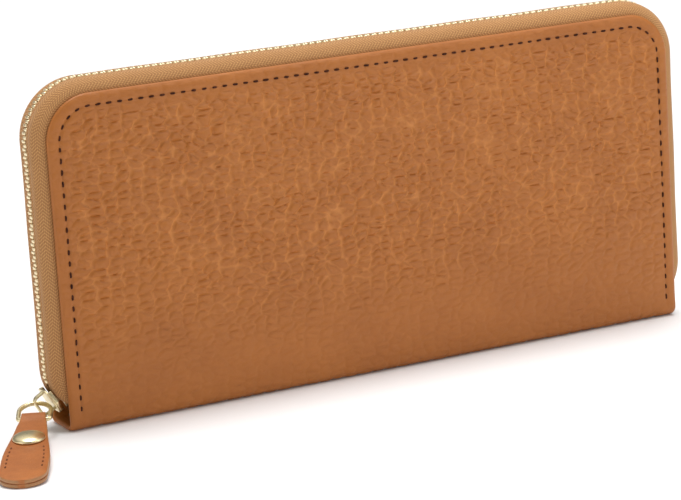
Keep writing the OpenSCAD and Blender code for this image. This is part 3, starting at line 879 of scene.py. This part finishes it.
def puller_leather(name):
    """One strip folded round the ring's bar, its two layers lying on each other as far as the tip."""
    layer, mid, loop = 1.08, 0.58, 1.32
    q_tip, q_join = 43.8, 4.2
    tip = q_tip - (1 - np.cos(np.linspace(0, math.pi / 2, 16))) * 6
    flat = np.linspace(tip[-1], q_join, 46)[1:]
    back = np.concatenate([tip, flat])
    t = np.linspace(0, 1, 10)[1:-1]
    a = np.linspace(-math.pi / 2, -3 * math.pi / 2, 15)
    join = np.column_stack([q_join * (1 - t), -mid - (loop - mid) * smoothstep(0, 1, t)])
    under = np.column_stack([back, np.full(len(back), -mid)])
    bend = np.column_stack([loop * np.cos(a), loop * np.sin(a)])
    line = np.concatenate([under, join, bend, (join * [1, -1])[::-1], (under * [1, -1])[::-1]])
    d = unit(np.gradient(line, axis=0))
    normal = np.stack([d[:, 1], -d[:, 0]], 1)
    half = tongue_half_width(np.maximum(line[:, 0], 0))
    across_at = np.linspace(-1, 1, 15)
    soft = 0.32
    raw_rim = [0.6, 1, 1, 0.6]
    raw = np.concatenate([np.zeros(15), raw_rim, np.zeros(15), raw_rim])
    rings, grain, uv = [], [], []
    run = np.concatenate([[0], np.cumsum(np.linalg.norm(np.diff(line, axis=0), axis=1))])
    for p, n, w, r in zip(line, normal, half, run):
        inner = max(w - soft, 0.02)
        x = across_at * inner
        top_h = layer / 2 + 0.02 * np.cos(across_at * 2)
        seam = 0.16 * np.exp(-(((w - np.abs(x)) - PULL_SEAM_INSET) / 0.35) ** 2) * (p[0] > RIVET_Q + 0.5)
        rim_x = np.array([inner + 0.7 * soft, w, w, inner + 0.7 * soft])
        rim_h = np.array([0.42, 0.18, -0.18, -0.42]) * layer
        hx = np.concatenate([x, rim_x, x[::-1], -rim_x])
        hh = np.concatenate([top_h - seam, rim_h, -np.full(15, layer / 2), -rim_h])
        rings.append(np.stack([hx, p[0] + n[0] * hh, p[1] + n[1] * hh], -1))
        uv.append(np.stack([hx + 300, np.full(len(hx), r)], -1))
        # The top face's grain places the painted crease highlight; the rest of the strip gets none
        grain.append(np.concatenate([pebble(x * 0.9 + 400, np.full(15, r)), np.full(23, 0.9)]))
    across, ahead, up = lay_axes(TONGUE_SLOPE)
    rings = np.array(rings)
    points = to_frame(rings, BAR, across, ahead, up)
    values = {"grain": np.array(grain), "raw": np.tile(raw, len(rings))}
    faces = loft_faces(len(rings), rings.shape[1])
    return add_object(name, points, faces, PULL_LEATHER, np.array(uv), values, sharp=60)


def recalc(obj):
    """Faces turned outwards."""
    bm = bmesh.new()
    bm.from_mesh(obj.data)
    bmesh.ops.recalc_face_normals(bm, faces=bm.faces)
    bm.to_mesh(obj.data)
    bm.free()
    return obj


# ---- Inside ----


def soft_panel(parts, low, high, front, back, radius, step, hem=0.0):
    """A thin sheet with rounded edges between two depths, and a turned hem along its edge."""
    thick = abs(back - front)
    rolls = [(0.0, 0.5 * thick), (0.15 * thick, 0.15 * thick), (0.5 * thick, 0.0), (1.6, 0.0), (2.2, 0.0)]
    grid = Grid((low[0], high[0]), (low[2], high[2]), radius, rolls, step)
    crease = hem * np.where(grid.ring == 3, 1, 0)
    sign = 1 if back > front else -1
    near = np.stack([grid.X, front + sign * (grid.depth + crease), grid.S], -1)
    far = np.stack([grid.X, back - sign * grid.depth, grid.S], -1)
    points, faces, _ = grid.between(near, far, sign < 0)
    uv = np.stack([grid.X, grid.S], -1).reshape(-1, 2)
    parts.add(points, faces, np.concatenate([uv, uv[(grid.ring > 0).ravel()]]))


def depths(low, high):
    """A node's nearest and farthest |y|."""
    return sorted((abs(low[1]), abs(high[1])))


def hang_on(obj, body, replaced):
    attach(obj, body)
    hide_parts(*replaced)
    return obj


def cloth_wall(name, node, body, mirror, outside, radius, step, hem=0.0):
    """A flat lining panel in a node's place; outside says whether its front is on the node's outer side."""
    low, high = node_box(node)
    near, far = depths(low, high)[::-1 if outside else 1]
    parts = Parts()
    soft_panel(parts, low, high, -mirror * near, -mirror * far, radius, step, hem)
    hang_on(recalc(parts.make(name, LINING_CLOTH, 60)), body, [node])


def fold_blend(obj, replaced):
    """Bakes the leather's or lining's place into its mesh and hides the CAD nodes that it replaces."""
    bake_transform(obj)
    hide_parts(*replaced)
    return obj


PAD_GAP, PAD_CORNER = 1.0, 6.5
LINING_FOLD_R, LINING_FLOOR_Z = 2.2, 2.4
LINING_HALF = HALF - 4.2
LINING_FLAT = (LINING_Y + LINING_IN) / 2 - LINING_FOLD_R
LINING_BEND = LINING_FOLD_R * math.pi / 2
LINING_TOP_S = LINING_FLAT + LINING_BEND + TOP - 0.8 - LINING_FLOOR_Z - LINING_FOLD_R
SLOTS, SLOT_MOUTH, SLOT_STEP = 4, 36, 12
GUSSET_HALF_THICK = 0.1
COIN_PITCH, COIN_TOOTH = 1.8, 0.74
BAIL_HALF_WIDTH = 0.8
RING_LEG, RING_WIRE = 4.2, 0.62
PULL_SEAM_INSET, TONGUE_TOP = 1.5, 1.15
PULL_STITCHES = [22.2 + 2.5 * k for k in range(6)]
RIVET_Q, RIVET_R = 16.5, 4.2


def lining_surface(grid, out, mirror):
    """The lining's grid laid along the spine, round the fold and up the cover, moved outwards."""
    a = np.clip((grid.S - LINING_FLAT) / LINING_FOLD_R, 0, math.pi / 2)
    bent = LINING_FLOOR_Z + LINING_FOLD_R - LINING_FOLD_R * np.cos(a)
    straight = LINING_FLOOR_Z + LINING_FOLD_R + grid.S - LINING_FLAT - LINING_BEND
    y = np.where(grid.S < LINING_FLAT, -grid.S, -LINING_FLAT - LINING_FOLD_R * np.sin(a))
    z = np.where(grid.S < LINING_FLAT + LINING_BEND, bent, straight)
    return np.stack([grid.X, mirror * (y - np.sin(a) * out), z - np.cos(a) * out], -1)


for cover, mirror in (("front", 1), ("back", -1)):
    body = cover + "_cover"

    skin = cover_leather(cover + "_cover_leather", mirror)
    fold_blend(skin, [cover + "_leather", "spine_leather"])
    hang_on(cover_stitches(cover + "_cover_stitches", mirror), body, [cover + "_stitching"])

    hang_on(zip_tape(cover + "_zip_tape_woven", mirror), body, [cover + "_zip_tape"])
    hang_on(zip_teeth(cover + "_zip_teeth_row", mirror), body, [cover + "_zip_teeth"])

    # Foam pad between the leather and the lining
    low, high = node_box(cover + "_padding")
    pad_rolls = [(0.0, 0.5), (0.3, 0.15), (1.0, 0.0)]
    x_range = (low[0] + PAD_GAP, high[0] - PAD_GAP)
    grid = Grid(x_range, (low[2], high[2] - PAD_GAP), PAD_CORNER, pad_rolls, 3.0)
    outer = FACE_Y - LEATHER - 0.15 + crown(grid.X, grid.S) * 0.97
    inner = np.full(grid.X.shape, LINING_Y + 0.05)
    rolled_in = (outer - inner) * grid.depth
    near = np.stack([grid.X, -mirror * (outer - rolled_in), grid.S], -1)
    far = np.stack([grid.X, -mirror * (inner + rolled_in), grid.S], -1)
    points, faces, _ = grid.between(near, far, mirror < 0)
    pad = add_object(cover + "_foam_pad", points, faces, FOAM)
    hang_on(pad, body, [cover + "_padding"])

    # Lining: one sheet from the middle of the spine round the fold and up the cover
    half = (LINING_Y - LINING_IN) / 2 - 0.02
    lining_rolls = [(0.0, half), (0.1, 0.3 * half), (0.5, 0.0)]
    grid = Grid((-LINING_HALF, LINING_HALF), (0, LINING_TOP_S), 9.0, lining_rolls, 2.5, open_low=True)
    near = lining_surface(grid, half - grid.depth, mirror)
    far = lining_surface(grid, -(half - grid.depth), mirror)
    points, faces, final = grid.between(near, far, mirror < 0)
    for i in range(grid.nx - 1):
        a, b = i * grid.ns, (i + 1) * grid.ns
        quad = tuple(dict.fromkeys([a, int(final[a]), int(final[b]), b]))
        faces.append(quad[::-1] if mirror < 0 else quad)
    lining = add_object(cover + "_cover_lining", points, faces, LINING_CLOTH, sharp=70)
    fold_blend(lining, [cover + "_lining", "spine_lining"])

    # Card panel, and four stepped slots on each side of the middle
    node = cover + "_card_panel"
    cloth_wall(node + "_cloth", node, body, mirror, False, 2.0, 6.0)
    for side in ("left", "right"):
        node = cover + "_card_slots_" + side
        low, high = node_box(node)
        y_in, y_out = depths(low, high)
        layer = (y_out - y_in) / SLOTS
        parts = Parts()
        for i in range(SLOTS):
            a = y_out - i * layer
            mouth = (high[0], 0, SLOT_MOUTH + (SLOTS - 1 - i) * SLOT_STEP)
            soft_panel(parts, low, mouth, -mirror * (a - layer + 0.04), -mirror * a, 1.6, 4.0, hem=0.12)
        hang_on(recalc(parts.make(node + "_leather", INNER_LEATHER, 50)), body, [node])

    # Gussets: a leaf folded in half
    for side, name in ((-1, "left"), (1, "right")):
        node = "gusset_%s_%s" % (cover, name)
        low, high = node_box(node)
        y_in, y_out = depths(low, high)
        outer_x, inner_x = (low[0], high[0]) if side < 0 else (high[0], low[0])
        way_in = outer_x + (inner_x - outer_x) * np.linspace(0, 1, 15)
        x = np.concatenate([way_in, way_in[::-1][1:]])
        leaf = np.stack([x, np.linspace(y_in + 0.12, y_out - 0.12, len(x))], 1)
        d = unit(np.gradient(leaf, axis=0))
        n = np.stack([-d[:, 1], d[:, 0]], 1) * GUSSET_HALF_THICK
        ring = np.concatenate([leaf + n, (leaf - n)[::-1]])
        z = np.linspace(low[2], high[2], 24)[:, None]
        shape = (len(z), len(ring))
        flat = [np.broadcast_to(v, shape) for v in (ring[:, 0], ring[:, 1], z)]
        points = np.stack([flat[0], -mirror * flat[1], flat[2]], -1)
        gusset = recalc(add_object(node + "_leaf", points, loft_faces(*shape), INNER_LEATHER, sharp=60))
        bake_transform(gusset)
        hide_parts(node)

# Coin pocket, in the middle
for cover, mirror in (("front", 1), ("back", -1)):
    cloth_wall("coin_pocket_wall_" + cover, "coin_pocket_" + cover, "root", mirror, True, 1.5, 4.0, hem=0.1)
    node = "coin_zip_teeth_" + cover
    low, high = node_box(node)
    parts = Parts()
    count = int(round((high[0] - low[0] - COIN_TOOTH) / COIN_PITCH)) + 1
    for k in range(count):
        place = np.array([low[0] + COIN_TOOTH / 2 + k * COIN_PITCH, 0, (low[2] + high[2]) / 2])
        tooth(parts, place, np.array([1.0, 0, 0]), np.array([0, 0, 1.0]), mirror, 0.85)
    teeth = parts.make("coin_zip_teeth_row_" + cover, TEETH_BRASS, 50)
    hang_on(teeth, "root", [node])


def brass_piece(name, parts, body, node):
    hang_on(recalc(parts.make(name, BRASS, 50)), body, [node])


# Main slider
for name, out in (("slider_outer_wing", 1), ("slider_inner_wing", -1)):
    parts = Parts()
    add_wing(parts, SLIDER, ACROSS_Y, SLIDER_UP, SLIDER_OUT * out, MAIN_SIZE)
    brass_piece(name + "_plate", parts, "slider", name)
parts = Parts()
arch(parts, SLIDER, SLIDER_UP, SLIDER_OUT, ACROSS_Y, BAIL_HALF_WIDTH, **BAIL)
brass_piece("slider_bail_arch", parts, "slider", "slider_bail")

parts = Parts()
across, ahead, up = lay_axes(RING_SLOPE)
ring_arc = math.sqrt(RING_R**2 - RING_SHIFT**2)
line = to_frame(ring_path(RING_R, ring_arc, ring_arc + RING_LEG, RING_SHIFT), TUNNEL, across, ahead, up)
parts.add(*tube(line, RING_WIRE, 16, closed=True, up=up))
brass_piece("puller_ring_wire", parts, "ring", "puller_ring")

# Puller: leather, stitches, and the rivet through both layers
hang_on(recalc(puller_leather("puller_leather_strip")), "puller", ["puller_leather"])
across, ahead, up = lay_axes(TONGUE_SLOPE)
parts = Parts()
for side in (-1, 1):
    for q in PULL_STITCHES:
        w = float(tongue_half_width(q)) - PULL_SEAM_INSET
        middle = BAR + across * side * w + ahead * q + up * (TONGUE_TOP - 0.16)
        lean = (float(tongue_half_width(q + 1)) - float(tongue_half_width(q - 1))) / 2 * side
        along = ahead + across * lean
        stitch(parts, middle, along / np.linalg.norm(along), up, half=0.7, thick=0.24)
hang_on(parts.make("puller_stitches", PULL_THREAD), "puller", ["puller_stitching"])

dome = [(RIVET_R * math.sin(a), 0.35 + 1.27 * math.cos(a)) for a in np.linspace(0.1, 1.45, 12)]
rim = [(RIVET_R, 0.34), (RIVET_R + 0.02, 0.2), (RIVET_R - 0.1, 0.06), (RIVET_R - 0.35, 0.0), (0.01, 0.0)]
cap = ([(0.01, 1.62)] + dome + rim)[::-1]
post = [(0.01, 0.0), (2.6, 0.0), (2.9, 0.12), (3.0, 0.35), (2.9, 0.58), (1.15, 0.6), (1.1, 2.9), (0.01, 2.9)]
for name, node, profile, height in (
    ("rivet_dome_cap", "rivet_cap", cap, 1.17),
    ("rivet_post_and_base", "rivet_post", post, -1.78),
):
    parts = Parts()
    points, faces = turned(profile)
    parts.add(to_frame(points, BAR + ahead * RIVET_Q + up * height, across, -ahead, up), faces)
    brass_piece(name, parts, "puller", node)

# CAD nodes that keep their shape get a material, and small pieces of metal a bevel
KEPT = {
    "spine_board": BOARD, "spine_stitching": THREAD,
    "coin_zip_tape_front": COIN_TAPE, "coin_zip_tape_back": COIN_TAPE, "coin_zip_stops": TEETH_BRASS,
    "coin_slider_body": BRASS, "coin_slider_bail": BRASS, "coin_pull_tab": BRASS,
    "front_zip_stops": TEETH_BRASS, "back_zip_stops": TEETH_BRASS, "slider_core_pin": BRASS,
}
for name, material in KEPT.items():
    obj = frame["nodes"][name]
    obj.data.materials.clear()
    obj.data.materials.append(material)
    bevel = obj.modifiers.new("edges", "BEVEL")
    bevel.width, bevel.segments, bevel.limit_method = 0.00012, 2, "ANGLE"

# ---- Floor, light and camera ----


def floor_material():
    sh = Shader("pale floor")
    tone = sh.noise(sh.place(), 6, 2)
    color = sh.ramp(tone, [(0.3, (0.86, 0.86, 0.86)), (0.7, (0.9, 0.9, 0.9))])
    return sh.finish(color, 0.8, Specular_IOR_Level=0.1, Emission_Color=(1, 1, 1), Emission_Strength=0.03)


FLOOR_HALF = 6.0
floor_corners = [(a * FLOOR_HALF, b * FLOOR_HALF, 0) for a, b in ((-1, -1), (1, -1), (1, 1), (-1, 1))]
floor_mesh = bpy.data.meshes.new("floor")
floor_mesh.from_pydata(floor_corners, [], [(0, 1, 2, 3)])
floor_mesh.materials.append(floor_material())
floor = link(bpy.data.objects.new("floor", floor_mesh))

world = bpy.data.worlds.new("studio")
world.use_nodes = True
background = world.node_tree.nodes["Background"]
background.inputs["Color"].default_value = (1.0, 0.99, 0.97, 1)
background.inputs["Strength"].default_value = 0.25
bpy.context.scene.world = world
bpy.context.scene.view_settings.view_transform = "Standard"


def soft_light(name, place, target, width, height, power):
    data = bpy.data.lights.new(name, "AREA")
    data.shape, data.size, data.size_y, data.energy = "RECTANGLE", width, height, power
    light = link(bpy.data.objects.new(name, data))
    light.location = place
    light.rotation_mode = "QUATERNION"
    light.rotation_quaternion = (Vector(target) - Vector(place)).to_track_quat("-Z", "Y")


def sun(name, power, spread, from_front, from_right):
    """A wide soft light from above; the angles, in degrees, lean it towards the front and the right."""
    data = bpy.data.lights.new(name, "SUN")
    data.energy, data.angle = power, math.radians(spread)
    light = link(bpy.data.objects.new(name, data))
    light.rotation_euler = (math.radians(from_front), math.radians(from_right), 0)


soft_light("side softbox", (0.8, -0.8, 0.42), (0.05, 0, 0.06), 0.45, 0.45, 1.5)
soft_light("left softbox", (-0.75, -0.1, 0.25), (-0.1, 0, 0.04), 0.5, 0.5, 0.9)
sun("overhead light", 0.5, 70, -20, 0)
sun("key light", 2.4, 28, -6, 4)
sun("front light", 0.25, 40, 45, 25)
soft_light("top strip", (0.12, -0.12, 0.27), (0.07, -0.01, 0.09), 0.3, 0.06, 0.2)

camera_data = bpy.data.cameras.new("camera")
camera_data.sensor_width = 36
camera_data.lens = 155.9
camera_data.clip_start, camera_data.clip_end = 0.01, 20
camera = bpy.data.objects.new("camera", camera_data)
right = Vector((0.88717, -0.45727, -0.06189)).normalized()
upward = Vector((0.15518, 0.16936, 0.97326)).normalized()
backward = right.cross(upward)
basis = Matrix((right, upward, backward)).transposed()
camera.rotation_mode = "QUATERNION"
camera.rotation_quaternion = basis.to_quaternion()
camera.location = (-0.3602, -0.70543, 0.21328)
link(camera)
bpy.context.scene.camera = camera
